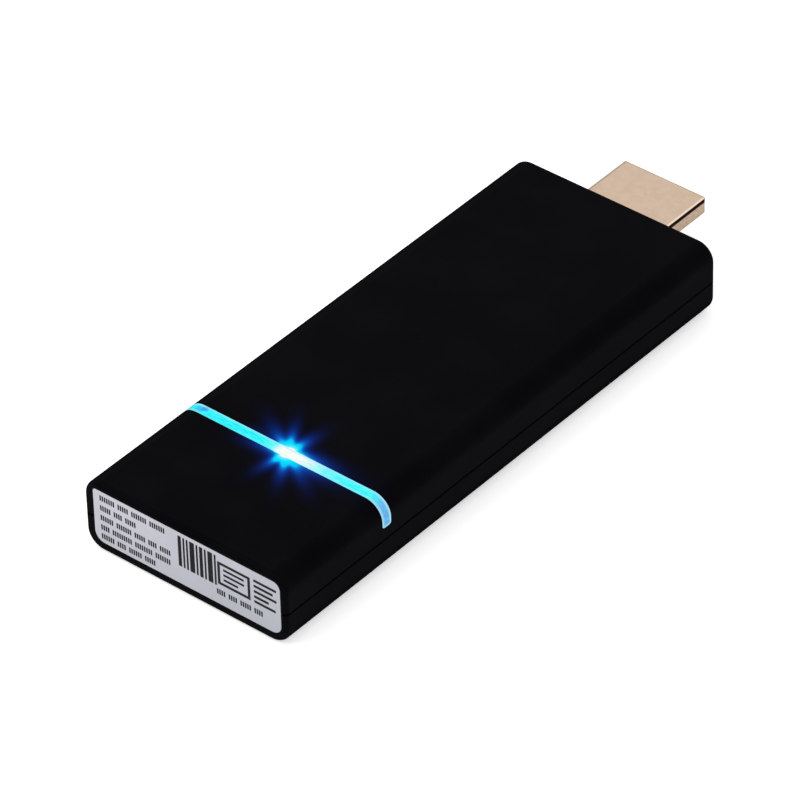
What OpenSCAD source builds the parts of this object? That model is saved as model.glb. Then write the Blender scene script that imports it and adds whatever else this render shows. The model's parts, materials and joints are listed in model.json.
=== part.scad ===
// Streaming media stick: a two-part moulded housing with a plug for a television at one end,
// a light guide that wraps over the top, a circuit board with its parts, a power socket and
// a reset button.
// X is the width, +Y points to the plug and +Z is up. The origin lies on the resting face,
// under the middle of the overall length.

/* [Housing] */
// Width across the long sides
housing_w = 33.5; // [32:0.5:40]
// Length without the plug
housing_l = 87.4; // [84:0.2:110]
// Height from the resting face to the top face
housing_h = 10.9; // [10.5:0.1:13]
// Radius along the four long edges
edge_r = 2.7; // [2.2:0.1:3.2]
// Rounding where the end faces meet the long faces
end_r = 0.8; // [0.3:0.1:1.2]
// Thickness of every wall
wall_t = 1.5; // [1.4:0.1:1.8]
// Distance from the board's underside down to the parting line
seam_drop = 0.15; // [0.05:0.05:0.4]
// Shadow gap that shows at the parting line
seam_gap = 0.15; // [0.05:0.05:0.3]

/* [Joint between the shells] */
// Height of the lip that the upper shell sits over
lip_h = 1; // [0.8:0.1:1.2]
// Thickness of the lip
lip_t = 0.7; // [0.5:0.1:0.8]
// Clearance between the lip and the upper shell
lip_clear = 0.05; // [0.02:0.01:0.1]
// Radius of the snap ridges on the lip
snap_r = 0.3; // [0.2:0.05:0.35]
// Length of each snap ridge
snap_l = 5; // [3:0.5:6]
// Snap ridges on each long side
snap_count = 4; // [2:1:4]
// Distance from the end faces to the outer snap ridges
snap_from_end = 9; // [8:0.5:11]

/* [Light guide] */
// Width of the visible strip
guide_w = 1.7; // [1.4:0.05:2.6]
// Distance from the near end face to the strip's middle
guide_from_near = 19.55; // [19:0.05:24]
// How far above the parting line the strip's ends stop
guide_above_seam = 1.9; // [1.8:0.1:2.8]
// Corner radius of the strip's ends
guide_end_r = 0.4; // [0.2:0.05:0.6]
// Clearance of the strip in its slot
guide_clear = 0.03; // [0.01:0.01:0.06]
// Width of the flange beside the strip
flange_w = 0.6; // [0.4:0.1:0.8]
// Thickness of the flange
flange_t = 0.6; // [0.4:0.1:0.8]
// Length of the stem over the lamp
stem_l = 3.4; // [3:0.1:5]

/* [Label] */
// Bare margin at each side of the label on the near end face
label_side_margin = 1.3; // [1.3:0.05:6]
// Bare margin above and below the label
label_top_margin = 1.3; // [1.2:0.05:2.5]
// Radius of the label's upper right corner
label_r = 1.1; // [0.5:0.1:1.5]
// Radius of the label's upper left corner
label_left_r = 0.5; // [0.3:0.1:1.5]
// Radius of the label's lower corners
label_low_r = 1.5; // [1.2:0.1:2]
// Thickness of the label
label_t = 0.12; // [0.08:0.01:0.2]
// How far the label's face lies below the end face
label_sink = 0.03; // [0.02:0.01:0.08]
// Gap round the label in its recess
label_clear = 0.08; // [0.05:0.01:0.15]

/* [Television plug] */
// Width of the plug's shell
plug_w = 13.9; // [13.9:0.1:14.1]
// Height of the plug's shell
plug_h = 4.45; // [4.45:0.05:4.55]
// How far the plug stands out of the end face
plug_reach = 10.85; // [9:0.05:12]
// Height of the shell's upright sides
plug_side_h = 2.35; // [2.2:0.05:2.5]
// Width of the shell's narrow side
plug_base_w = 9.9; // [9.6:0.1:10.2]
// Corner radius of the shell
plug_r = 0.45; // [0.45:0.05:0.8]
// Sheet thickness of the shell
plug_skin_t = 0.3; // [0.25:0.05:0.35]
// Rounding of the shell's front edge
plug_tip_r = 0.25; // [0.1:0.05:0.25]
// Radius of the shell's front corners, seen from above
plug_corner_r = 0.6; // [0.3:0.05:0.8]
// Height of the plug's middle above the housing's middle
plug_rise = 0.4; // [0:0.1:0.6]
// Clearance of the plug in the end wall
plug_clear = 0.12; // [0.05:0.01:0.2]

/* [Circuit board] */
// Thickness of the board
board_t = 1; // [0.8:0.1:1.2]
// Gap between the board's edge and the side walls
board_gap = 0.35; // [0.2:0.05:0.6]
// Room between the near end wall and the board
board_room = 2.2; // [2:0.1:3]

/* [Power socket] */
// Distance from the far end face to the socket's middle
socket_from_far = 22; // [19:0.5:24]
// Width of the socket's shell
socket_w = 7.5; // [7.4:0.1:7.8]
// Height of the socket's shell
socket_h = 2.5; // [2.4:0.05:2.6]
// Depth of the socket's shell
socket_depth = 5.5; // [5.2:0.1:6]
// Distance from the housing's side face to the socket's mouth
socket_recess = 0.5; // [0.2:0.1:0.9]
// Gap between the socket and the housing
socket_clear = 0.15; // [0.1:0.05:0.2]

/* [Reset button] */
// Distance from the far end face to the button's middle
button_from_far = 40; // [37.5:0.5:45]
// Length of the button's face
button_l = 4.6; // [4:0.1:5.5]
// Height of the button's face
button_h = 1.8; // [1.6:0.1:2]
// How far the button stands out of the side face
button_proud = 0; // [0:0.05:0.3]
// Travel of the button
button_travel = 0.25; // [0.2:0.05:0.3]
// Gap round the button
button_clear = 0.1; // [0.05:0.01:0.15]

/* [Hidden] */
$fn = 48;

// How far a cut runs past the surface it opens
overrun = 1;

// Places of the housing's main planes
near_y = -(housing_l + plug_reach) / 2;
far_y = near_y + housing_l;
tip_y = far_y + plug_reach;
mid_y = (near_y + far_y) / 2;
side_x = housing_w / 2;
inner_x = side_x - wall_t;
ceiling_z = housing_h - wall_t;

// Television plug
plug_z = housing_h / 2 + plug_rise;
plug_inside = 3;
plug_collar_l = 1.6;
plug_collar_t = 1.4;
plug_back_y = far_y - wall_t - plug_inside;
insulator_recess = 0.5;
slot_w = 10.9;
slot_h = 1.8;
slot_depth = 7.2;
contact_pitch = 1;
contact_w = 0.5;
contact_t = 0.2;
contact_proud = 0.08;
contact_dip = 0.22;
contact_front = 1;
contact_bow_l = 1.4;
contact_tail_l = 1.8;
contact_step_l = 0.4;
top_contacts = 10;
bottom_contacts = 9;
wing_l = 2.2;
wing_h = 1.6;
wing_clear = 0.1;
wing_z = plug_z + plug_h / 2 - plug_r - wing_h;

// Circuit board
board_z = plug_z - board_t / 2;
board_top = board_z + board_t;
board_w = 2 * (inner_x - board_gap);
board_near_y = near_y + wall_t + board_room;
board_far_y = plug_back_y;
board_l = board_far_y - board_near_y;
board_r = 1;
board_edge_x = board_w / 2;
seam_h = board_z - seam_drop;
screw_from_edge = 2.7;
screw_from_far = 8;
screw_from_guide = 7;
screw_r = 0.8;
screw_head_r = 1.5;
screw_head_h = 0.9;
screw_shank_l = 4;
screw_cross_w = 0.4;
screw_cross_l = 1.7;
screw_cross_depth = 0.5;
screw_clear = 0.3;
pilot_clear = 0.02;
boss_r = 2;
boss_foot_r = 2.6;
boss_foot_h = 0.8;
rest_w = 2.6;
rest_l = 1.2;
post_r = 1;
post_from_edge = 1.7;
clamp_from_end = 1.4;
clamp_from_tails = 1.2;
floor_rib_h = 0.6;
floor_rib_t = 0.8;
floor_rib_shares = [0.36, 0.56, 0.7];

// Light guide and its lamp
guide_y = near_y + guide_from_near;
guide_drop = housing_h - seam_h - guide_above_seam;
led_x = 0.4;
led_l = 2.8;
led_w = 1.4;
led_h = 0.7;
led_lens_inset = 0.3;
led_lens_h = 0.1;
led_gap = 0.25;
gasket_t = 0.9;
gasket_clear = 0.1;

// Label, set a little to one side and up, as the sticker lies
label_shift_x = 0.35;
label_shift_z = 0.28;
label_w = housing_w - 2 * label_side_margin;
label_h = housing_h - 2 * label_top_margin;

// Power socket
socket_y = far_y - socket_from_far;
socket_z = board_z - socket_h / 2;
socket_front_x = -side_x + socket_recess;
socket_side_h = 1.3;
socket_base_w = 5.6;
socket_r = 0.4;
socket_skin_t = 0.25;
socket_block_l = 1.6;
socket_tongue_l = 3;
socket_tongue_w = 3.9;
socket_tongue_t = 0.6;
socket_pin_count = 5;
socket_pin_pitch = 0.65;
socket_pin_w = 0.3;
socket_pin_t = 0.15;
socket_pin_front = 0.3;
socket_pin_tail = 0.9;

// Reset button and its switch
button_y = far_y - button_from_far;
button_z = seam_h;
button_flange_w = 0.5;
button_flange_t = 0.5;
nub_l = 2;
nub_h = 0.9;
nub_reach = 0.5;
plunger_out = 0.8;
plunger_in = 1;
plunger_w = 2.2;
plunger_h = 0.7;
plunger_clear = 0.05;
switch_w = 4.7;
switch_l = 3.5;
switch_h = 1.5;
switch_cover_t = 0.15;
switch_cover_fold = 0.8;
plunger_z = board_z - switch_h / 2;
plunger_tip_x = -inner_x + button_flange_t + nub_reach;
switch_x = plunger_tip_x + plunger_out;
notch_clear = 0.5;

// Chips under the heat spreader
processor_w = 14;
processor_h = 1;
die_w = 8;
die_h = 0.2;
pad_t = 0.3;
pad_w = 12;
spreader_w = 20;
spreader_l = 36;
spreader_t = 0.5;
spreader_leg_w = 3;
spreader_leg_t = 0.4;
spreader_slot_l = 8;
spreader_slot_w = 1;
spreader_slot_x_share = 0.24;
spreader_slot_y_share = 0.42;
spreader_shift_y = 7;
memory_w = 8;
memory_l = 11;
memory_h = 0.9;
memory_gap = 2.4;
chip_spacing = 1.6;
flash_w = 12;
flash_l = 9;
flash_h = 1;
flash_x = 5;

// Power supply, on the board's underside
power_w = 4;
power_h = 0.9;
coil_w = 3;
coil_h = 1.4;
coil_core_r = 1.1;
coil_core_h = 0.3;
coil_count = 3;
coil_gap = 1;
power_from_socket = 2.5;

// Small parts
cap_l = 1.6;
cap_w = 0.8;
cap_h = 0.8;
cap_pitch = 2;
cap_count = 6;
res_l = 1;
res_w = 0.5;
res_h = 0.35;
res_pitch = 1.2;
res_count = 8;
small_part_gap = 1;
filter_l = 2;
filter_w = 1.2;
filter_h = 0.9;
filter_count = 4;
filter_pitch = 2.4;
filter_from_tails = 1.2;
crystal_l = 3.2;
crystal_w = 2.5;
crystal_h = 0.7;
crystal_rim = 0.2;
crystal_lid_h = 0.1;

// Radio
wifi_w = 13;
wifi_l = 10;
wifi_t = 0.8;
wifi_from_side = 3.4;
wifi_from_end = 2.6;
shield_w = 8.4;
shield_l = 8;
shield_h = 1;
shield_t = 0.2;
shield_hole_r = 0.4;
shield_hole_pitch = 2;
wifi_margin = 0.8;
antenna_l = 20;
antenna_h = 5.8;
antenna_t = 0.6;
antenna_x = 2;
antenna_clip_t = 0.8;
antenna_clip_l = 1.6;
antenna_clip_h = 2;
lead_r = 0.5;
lead_bend_r = 2;
lead_run = 1.4;
antenna_plug_r = 1.2;
antenna_plug_h = 1.2;
antenna_crimp_w = 1.4;
antenna_plug_x = 4.6;
antenna_plug_y = 3.6;

// Colours
shell_colour = [0.05, 0.05, 0.055];
guide_colour = [0.45, 0.85, 1];
label_colour = [0.78, 0.78, 0.82];
plug_colour = [0.83, 0.7, 0.58];
gold_colour = [0.9, 0.72, 0.35];
steel_colour = [0.75, 0.76, 0.78];
black_colour = [0.1, 0.1, 0.11];
board_colour = [0.08, 0.25, 0.16];
chip_colour = [0.13, 0.13, 0.14];
foam_colour = [0.2, 0.2, 0.2];
ceramic_colour = [0.72, 0.6, 0.46];
pad_colour = [0.6, 0.65, 0.75];
lamp_colour = [0.9, 0.95, 1];

// Extrudes a shape drawn in Y and Z from x0 to x1
module along_x(x0, x1) {
    translate([x0, 0, 0]) rotate([90, 0, 90]) linear_extrude(x1 - x0) children();
}

// Extrudes a shape drawn in X and Z from y0 to y1
module along_y(y0, y1) {
    translate([0, y1, 0]) rotate([90, 0, 0]) linear_extrude(y1 - y0) children();
}

// Extrudes a shape drawn in X and Y from z0 to z1
module along_z(z0, z1) {
    translate([0, 0, z0]) linear_extrude(z1 - z0) children();
}

// A block with its middle at x and y, standing on z
module block(x, y, z, w, l, h) {
    translate([x - w / 2, y - l / 2, z]) cube([w, l, h]);
}

// A rectangle with true arcs at its corners
module rounded_rect(a, b, r) {
    if (r > 0) {
        square([a - 2 * r, b], center = true);
        square([a, b - 2 * r], center = true);
        for (i = [-1, 1], j = [-1, 1])
            translate([i * (a / 2 - r), j * (b / 2 - r)]) circle(r);
    } else
        square([a, b], center = true);
}

// A slot shape with half circles at both ends
module stadium(a, b) {
    square([a - b, b], center = true);
    for (i = [-1, 1])
        translate([i * (a - b) / 2, 0]) circle(b / 2);
}

// A bar with radius r along its length and every end edge rounded by e
module rounded_bar(w, l, h, r, e) {
    translate([-(w / 2 - r), 0, 0]) along_x(0, w - 2 * r) rounded_rect(l, h, e);
    along_z(-(h / 2 - r), h / 2 - r) rounded_rect(w, l, e);
    for (i = [-1, 1], j = [-1, 1])
        translate([i * (w / 2 - r), 0, j * (h / 2 - r)]) rotate([90, 0, 0])
            rotate_extrude() intersection() {
                rounded_rect(2 * r, l, e);
                translate([0, -l]) square([2 * r, 2 * l]);
            }
}

// Corner geometry of a convex outline: directions to both neighbours, and the half angle
function unit(v) = v / norm(v);
function to_last(p, i) = unit(p[(i + len(p) - 1) % len(p)] - p[i]);
function to_next(p, i) = unit(p[(i + 1) % len(p)] - p[i]);
function half_sine(p, i) = sqrt((1 - to_last(p, i) * to_next(p, i)) / 2);
function half_tangent(p, i) =
    sqrt((1 - to_last(p, i) * to_next(p, i)) / (1 + to_last(p, i) * to_next(p, i)));

// The point at distance d inside both edges that meet at corner i
function inner_corner(p, i, d) =
    p[i] + unit(to_last(p, i) + to_next(p, i)) * d / half_sine(p, i);
function inset_outline(p, d) = [for (i = [0:len(p) - 1]) inner_corner(p, i, d)];

// A convex outline with true arcs at its corners: r is one radius, or a list with one per corner
module rounded_outline(p, r) {
    last = len(p) - 1;
    radii = is_list(r) ? r : [for (point = p) r];
    polygon([
        for (i = [0:last], side = [0, 1])
            p[i] + (side == 0 ? to_last(p, i) : to_next(p, i)) * radii[i] / half_tangent(p, i)
    ]);
    for (i = [0:last])
        translate(inner_corner(p, i, radii[i])) circle(radii[i]);
}

// A flat strip of thickness t that follows a path drawn in two directions
function strip(path, t) = concat(
    [for (p = path) p + [0, t / 2]],
    [for (i = [len(path) - 1:-1:0]) path[i] - [0, t / 2]]
);

// The place of item i in a row of n that is centred on zero
function in_row(i, n, pitch) = (i - (n - 1) / 2) * pitch;

// Cross-section and plan of the housing, drawn in from its faces by inset
module section(inset) {
    translate([0, housing_h / 2])
        rounded_rect(housing_w - 2 * inset, housing_h - 2 * inset, max(edge_r - inset, 0));
}

module plan(inset) {
    translate([0, mid_y])
        rounded_rect(housing_w - 2 * inset, housing_l - 2 * inset, max(end_r - inset, 0));
}

module housing_form() {
    translate([0, mid_y, housing_h / 2])
        rounded_bar(housing_w, housing_l, housing_h, edge_r, end_r);
}

module cavity() {
    along_y(near_y + wall_t, far_y - wall_t) section(wall_t);
}

// Height of the lip's top, which the upper shell sits on
lip_top = seam_h + lip_h;

module snap_rods(r) {
    for (side = [-1, 1], i = [0:snap_count - 1])
        translate([
            side * (inner_x + lip_t),
            mid_y + in_row(i, snap_count, (housing_l - 2 * snap_from_end) / (snap_count - 1)),
            seam_h + lip_h / 2
        ])
            rotate([90, 0, 0]) cylinder(r = r, h = snap_l, center = true);
}

// Outline of the strip and of its slot, drawn in Y and Z
module guide_outline(grow) {
    translate([guide_y, housing_h])
        rounded_rect(guide_w + 2 * grow, 2 * (guide_drop + grow), guide_end_r + grow);
}

module guide_slot() {
    along_x(-side_x - overrun, side_x + overrun) guide_outline(0);
}

function plug_points() = [
    [plug_w / 2, plug_h / 2],
    [-plug_w / 2, plug_h / 2],
    [-plug_w / 2, plug_h / 2 - plug_side_h],
    [-plug_base_w / 2, -plug_h / 2],
    [plug_base_w / 2, -plug_h / 2],
    [plug_w / 2, plug_h / 2 - plug_side_h]
];

module plug_profile(inset) {
    translate([0, plug_z]) rounded_outline(inset_outline(plug_points(), inset), plug_r - inset);
}

module plug_hole() {
    along_y(plug_back_y - overrun, far_y + overrun) plug_profile(-plug_clear);
}

// Material round the plug behind the end wall, between two heights
module plug_collar(z0, z1) {
    block(
        0, far_y - wall_t - plug_collar_l / 2, z0,
        plug_w + 2 * plug_collar_t, plug_collar_l, z1 - z0
    );
}

function socket_points() = [
    [socket_w / 2, -socket_h / 2],
    [socket_w / 2, -socket_h / 2 + socket_side_h],
    [socket_base_w / 2, socket_h / 2],
    [-socket_base_w / 2, socket_h / 2],
    [-socket_w / 2, -socket_h / 2 + socket_side_h],
    [-socket_w / 2, -socket_h / 2]
];

module socket_profile(inset) {
    translate([socket_y, socket_z])
        rounded_outline(inset_outline(socket_points(), inset), socket_r - inset);
}

module socket_hole() {
    along_x(-side_x - overrun, -inner_x + overrun) socket_profile(-socket_clear);
}

// The button's face outline, grown by a margin, drawn in Y and Z
module button_outline(grow) {
    translate([button_y, button_z]) stadium(button_l + 2 * grow, button_h + 2 * grow);
}

module button_hole() {
    along_x(-side_x - overrun, -inner_x + overrun) button_outline(button_clear);
}

// The label's outline, drawn in X and Z, from its upper right corner round by the left
module label_outline(grow) {
    x = label_w / 2 + grow;
    z = label_h / 2 + grow;
    corner_radii = [label_r, label_left_r, label_low_r, label_low_r];
    translate([label_shift_x, housing_h / 2 + label_shift_z])
        rounded_outline([[x, z], [-x, z], [-x, -z], [x, -z]], [for (r = corner_radii) r + grow]);
}

module label_recess() {
    along_y(near_y - overrun, near_y + label_sink + label_t) label_outline(label_clear);
}

// What both shells leave open
module wall_openings() {
    plug_hole();
    socket_hole();
    button_hole();
    label_recess();
}

// Places along the board where it is held between posts above and rests below
clamp_ys = [
    board_near_y + clamp_from_end,
    board_far_y - contact_step_l - contact_tail_l - clamp_from_tails
];

module clamp_posts() {
    for (side = [-1, 1], y = clamp_ys)
        translate([side * (board_edge_x - post_from_edge), y, board_top])
            cylinder(r = post_r, h = ceiling_z - board_top + wall_t / 2);
}

module upper_shell() {
    color(shell_colour) difference() {
        union() {
            difference() {
                housing_form();
                cavity();
                along_z(-overrun, seam_h + seam_gap) plan(-overrun);
                along_z(seam_h, lip_top) plan(wall_t - lip_t - lip_clear);
            }
            plug_collar(lip_top, ceiling_z + wall_t / 2);
            clamp_posts();
        }
        snap_rods(snap_r + lip_clear);
        guide_slot();
        wall_openings();
    }
}

// Places of the four screws
screw_places = [
    for (side = [-1, 1], y = [guide_y + screw_from_guide, board_far_y - screw_from_far])
        [side * (board_edge_x - screw_from_edge), y]
];

module screw_bosses() {
    for (place = screw_places) translate([place[0], place[1], wall_t / 2]) {
        cylinder(r = boss_r, h = board_z - wall_t / 2);
        cylinder(r = boss_foot_r, h = wall_t / 2 + boss_foot_h);
    }
}

module pilot_holes() {
    for (place = screw_places)
        translate([place[0], place[1], board_top - screw_shank_l - screw_clear])
            cylinder(r = screw_r + pilot_clear, h = screw_shank_l + screw_clear);
}

module board_rests() {
    for (side = [-1, 1], y = clamp_ys)
        block(
            side * (inner_x + (lip_t / 2 - rest_w) / 2), y, wall_t / 2,
            rest_w + lip_t / 2, rest_l, board_z - wall_t / 2
        );
}

module floor_ribs() {
    for (share = floor_rib_shares)
        block(
            0, near_y + share * housing_l, wall_t / 2,
            housing_w - 2 * edge_r, floor_rib_t, wall_t / 2 + floor_rib_h
        );
}

// Two clips that hold the antenna board upright against the end wall
module antenna_clips() {
    for (side = [-1, 1])
        block(
            antenna_x + side * antenna_l / 2,
            near_y + wall_t + (antenna_t + antenna_clip_t) / 2, wall_t / 2,
            antenna_clip_l, antenna_t + antenna_clip_t, antenna_z - wall_t / 2 + antenna_clip_h
        );
}

module lower_shell() {
    color(shell_colour) difference() {
        union() {
            difference() {
                housing_form();
                cavity();
                along_z(seam_h, housing_h + overrun) plan(-overrun);
            }
            along_z(seam_h, lip_top) difference() {
                plan(wall_t - lip_t);
                plan(wall_t);
            }
            snap_rods(snap_r);
            plug_collar(wall_t / 2, seam_h);
            screw_bosses();
            board_rests();
            floor_ribs();
            antenna_clips();
        }
        pilot_holes();
        antenna_blank();
        wall_openings();
    }
}

module light_guide() {
    flange_half = guide_w / 2 + flange_w;
    color(guide_colour) {
        intersection() {
            along_x(-side_x, side_x) guide_outline(-guide_clear);
            along_y(guide_y - guide_w, guide_y + guide_w) difference() {
                section(0);
                section(wall_t);
            }
        }
        along_y(guide_y - flange_half, guide_y + flange_half) difference() {
            section(wall_t);
            section(wall_t + flange_t);
            translate([-side_x, 0]) square([housing_w, housing_h - guide_drop - flange_w]);
        }
        block(led_x, guide_y, stem_z, stem_l, guide_w, ceiling_z - flange_t / 2 - stem_z);
    }
}

module end_label() {
    color(label_colour)
        along_y(near_y + label_sink, near_y + label_sink + label_t) label_outline(0);
}

// Keeps what lies behind the plug's front edge, rounded in plan and in side view
module plug_tip_form() {
    l = tip_y - plug_back_y + overrun;
    intersection() {
        along_z(plug_z - plug_h, plug_z + plug_h)
            translate([0, tip_y - l / 2]) rounded_rect(plug_w, l, plug_corner_r);
        along_x(-plug_w, plug_w)
            translate([tip_y - l / 2, plug_z]) rounded_rect(l, plug_h, plug_tip_r);
    }
}

module plug_shell() {
    color(plug_colour) {
        intersection() {
            along_y(plug_back_y, tip_y) difference() {
                plug_profile(0);
                plug_profile(plug_skin_t);
            }
            plug_tip_form();
        }
        for (side = [-1, 1])
            block(
                side * (plug_w - plug_skin_t) / 2, plug_back_y + (plug_skin_t - wing_l) / 2,
                wing_z, plug_skin_t, wing_l + plug_skin_t, wing_h
            );
    }
}

// Side view of an upper contact: a bowed spring, a straight run and a tail on the board
function contact_path() = let (
    run_z = plug_z + slot_h / 2 + contact_t / 2 - contact_proud,
    tail_z = board_top + contact_t / 2,
    front = tip_y - insulator_recess - contact_front
) [
    [front, run_z],
    [front - contact_bow_l / 2, run_z - contact_dip],
    [front - contact_bow_l, run_z],
    [plug_back_y, run_z],
    [plug_back_y - contact_step_l, tail_z],
    [plug_back_y - contact_step_l - contact_tail_l, tail_z]
];

module contact() {
    along_x(-contact_w / 2, contact_w / 2) polygon(strip(contact_path(), contact_t));
}

module plug_contacts() {
    color(gold_colour) {
        for (i = [0:top_contacts - 1])
            translate([in_row(i, top_contacts, contact_pitch), 0, 0]) contact();
        for (i = [0:bottom_contacts - 1])
            translate([in_row(i, bottom_contacts, contact_pitch), 0, 2 * plug_z])
                mirror([0, 0, 1]) contact();
    }
}

module plug_insulator() {
    front = tip_y - insulator_recess;
    color(black_colour) difference() {
        along_y(plug_back_y, front) plug_profile(plug_skin_t);
        block(
            0, front - slot_depth / 2 + overrun / 2, plug_z - slot_h / 2,
            slot_w, slot_depth + overrun, slot_h
        );
        plug_contacts();
    }
}

module main_board() {
    color(board_colour) difference() {
        along_z(board_z, board_top) translate([0, (board_near_y + board_far_y) / 2])
            rounded_rect(board_w, board_l, board_r);
        for (place = screw_places) translate([place[0], place[1], board_z - overrun])
            cylinder(r = screw_r + screw_clear, h = board_t + 2 * overrun);
        for (side = [-1, 1])
            block(
                side * (plug_w - plug_skin_t) / 2,
                plug_back_y - wing_l / 2, board_z - overrun,
                plug_skin_t + 2 * wing_clear, wing_l + 2 * wing_clear, board_t + 2 * overrun
            );
        block(
            (switch_x - side_x) / 2, button_y, board_z - overrun,
            side_x + switch_x,
            button_l + 2 * (button_flange_w + notch_clear), board_t + 2 * overrun
        );
    }
}

module board_screws() {
    color(steel_colour) for (place = screw_places) translate([place[0], place[1], board_top])
        difference() {
            union() {
                cylinder(r = screw_head_r, h = screw_head_h);
                translate([0, 0, -screw_shank_l]) cylinder(r = screw_r, h = screw_shank_l);
            }
            for (turn = [0, 90]) rotate([0, 0, turn])
                block(
                    0, 0, screw_head_h - screw_cross_depth,
                    screw_cross_l, screw_cross_w, screw_cross_depth + overrun
                );
        }
}

module socket_shell() {
    color(steel_colour) along_x(socket_front_x, socket_front_x + socket_depth) difference() {
        socket_profile(0);
        socket_profile(socket_skin_t);
    }
}

// Each contact runs under the tongue and through the block, then up to its tail on the board
module socket_contacts() {
    back = socket_front_x + socket_depth;
    front = back - socket_block_l - socket_tongue_l + socket_pin_front;
    low = socket_z - socket_tongue_t / 2 - socket_pin_t;
    color(gold_colour) for (i = [0:socket_pin_count - 1])
        translate([0, socket_y + in_row(i, socket_pin_count, socket_pin_pitch), 0]) {
            translate([front, -socket_pin_w / 2, low])
                cube([back + socket_pin_t - front, socket_pin_w, socket_pin_t]);
            translate([back, -socket_pin_w / 2, low])
                cube([socket_pin_t, socket_pin_w, board_z - low]);
            translate([back, -socket_pin_w / 2, board_z - socket_pin_t])
                cube([socket_pin_tail, socket_pin_w, socket_pin_t]);
        }
}

module socket_tongue() {
    back = socket_front_x + socket_depth;
    color(black_colour) difference() {
        union() {
            along_x(back - socket_block_l, back) socket_profile(socket_skin_t);
            translate([
                back - socket_block_l - socket_tongue_l, socket_y - socket_tongue_w / 2,
                socket_z - socket_tongue_t / 2
            ])
                cube([socket_tongue_l + socket_block_l / 2, socket_tongue_w, socket_tongue_t]);
        }
        socket_contacts();
    }
}

module reset_button() {
    flange_back = -inner_x + button_flange_t;
    color(shell_colour) {
        along_x(-side_x - button_proud, flange_back) button_outline(0);
        along_x(-inner_x, flange_back) button_outline(button_flange_w);
        translate([flange_back - button_flange_t / 2, button_y - nub_l / 2, plunger_z - nub_h / 2])
            cube([nub_reach + button_flange_t / 2, nub_l, nub_h]);
    }
}

// The switch's plunger, grown by a clearance and lengthened inwards
module plunger_bar(grow, longer) {
    translate([
        switch_x - plunger_out, button_y - plunger_w / 2 - grow,
        plunger_z - plunger_h / 2 - grow
    ])
        cube([plunger_out + plunger_in + longer, plunger_w + 2 * grow, plunger_h + 2 * grow]);
}

module switch_plunger() {
    color(foam_colour) plunger_bar(0, 0);
}

module switch_base() {
    color(black_colour) difference() {
        block(
            switch_x + switch_l / 2, button_y, board_z - switch_h,
            switch_l, switch_w, switch_h
        );
        plunger_bar(plunger_clear, button_travel + plunger_clear);
    }
}

module switch_cover() {
    outer_w = switch_w + 2 * switch_cover_t;
    bottom = board_z - switch_h - switch_cover_t;
    color(steel_colour) {
        block(
            switch_x + switch_l / 2, button_y, bottom,
            switch_l, outer_w, switch_cover_t
        );
        for (side = [-1, 1])
            block(
                switch_x + switch_l / 2, button_y + side * (switch_w + switch_cover_t) / 2, bottom,
                switch_l / 2, switch_cover_t, switch_cover_t + switch_cover_fold
            );
    }
}

// The heat spreader lies midway between the lamp's gasket and the line filters
filter_y = plug_back_y - contact_step_l - contact_tail_l - filter_from_tails - filter_l / 2;
gasket_far_y = guide_y + guide_w / 2 + gasket_clear + gasket_t;
spreader_y = (gasket_far_y + filter_y - filter_l / 2) / 2;
processor_y = spreader_y - spreader_shift_y;

module processor() {
    color(chip_colour) {
        block(0, processor_y, board_top, processor_w, processor_w, processor_h - die_h);
        block(0, processor_y, board_top + processor_h - die_h, die_w, die_w, die_h);
    }
}

// Lowest face of the heat spreader's plate
spreader_z = board_top + processor_h + pad_t;

module thermal_pad() {
    color(pad_colour)
        block(0, processor_y, board_top + processor_h, pad_w, pad_w, pad_t);
}

module heat_spreader() {
    color(steel_colour) {
        difference() {
            block(0, spreader_y, spreader_z, spreader_w, spreader_l, spreader_t);
            for (i = [-1, 1], j = [-1, 1])
                block(
                    i * spreader_slot_x_share * spreader_w,
                    spreader_y + j * spreader_slot_y_share * spreader_l,
                    spreader_z - overrun,
                    spreader_slot_l, spreader_slot_w, spreader_t + 2 * overrun
                );
        }
        for (i = [-1, 1], j = [-1, 1])
            block(
                i * (spreader_w - spreader_leg_t) / 2,
                spreader_y + j * (spreader_l - spreader_leg_w) / 2,
                board_top, spreader_leg_t, spreader_leg_w, spreader_z - board_top + spreader_t / 2
            );
    }
}

memory_y = processor_y + processor_w / 2 + chip_spacing + memory_l / 2;

module memory_chips() {
    color(chip_colour) for (side = [-1, 1])
        block(
            side * (memory_w + memory_gap) / 2, memory_y, board_top,
            memory_w, memory_l, memory_h
        );
}

module flash_chip() {
    color(chip_colour)
        block(flash_x, processor_y, board_z - flash_h, flash_w, flash_l, flash_h);
}

// The power parts lie in a row beside the socket, on the underside
power_x = socket_front_x + socket_depth + power_from_socket + power_w / 2;

module power_chip() {
    color(chip_colour) block(power_x, socket_y, board_z - power_h, power_w, power_w, power_h);
}

module power_coils() {
    x = power_x + power_w / 2 + coil_gap + coil_w / 2;
    color(foam_colour) for (i = [0:coil_count - 1])
        translate([x, socket_y + in_row(i, coil_count, coil_w + coil_gap), board_z - coil_h]) {
            block(0, 0, 0, coil_w, coil_w, coil_h);
            translate([0, 0, -coil_core_h]) cylinder(r = coil_core_r, h = 2 * coil_core_h);
        }
}

module capacitors() {
    x = processor_w / 2 + small_part_gap + cap_w / 2;
    color(ceramic_colour) for (side = [-1, 1], i = [0:cap_count - 1])
        block(
            side * x, processor_y + in_row(i, cap_count, cap_pitch), board_top,
            cap_w, cap_l, cap_h
        );
}

module resistors() {
    y = processor_y - processor_w / 2 - small_part_gap - res_l / 2;
    color(black_colour) for (i = [0:res_count - 1])
        block(in_row(i, res_count, res_pitch), y, board_top, res_w, res_l, res_h);
}

module line_filters() {
    color(black_colour) for (i = [0:filter_count - 1])
        block(
            in_row(i, filter_count, filter_pitch), filter_y, board_top,
            filter_w, filter_l, filter_h
        );
}

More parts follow.
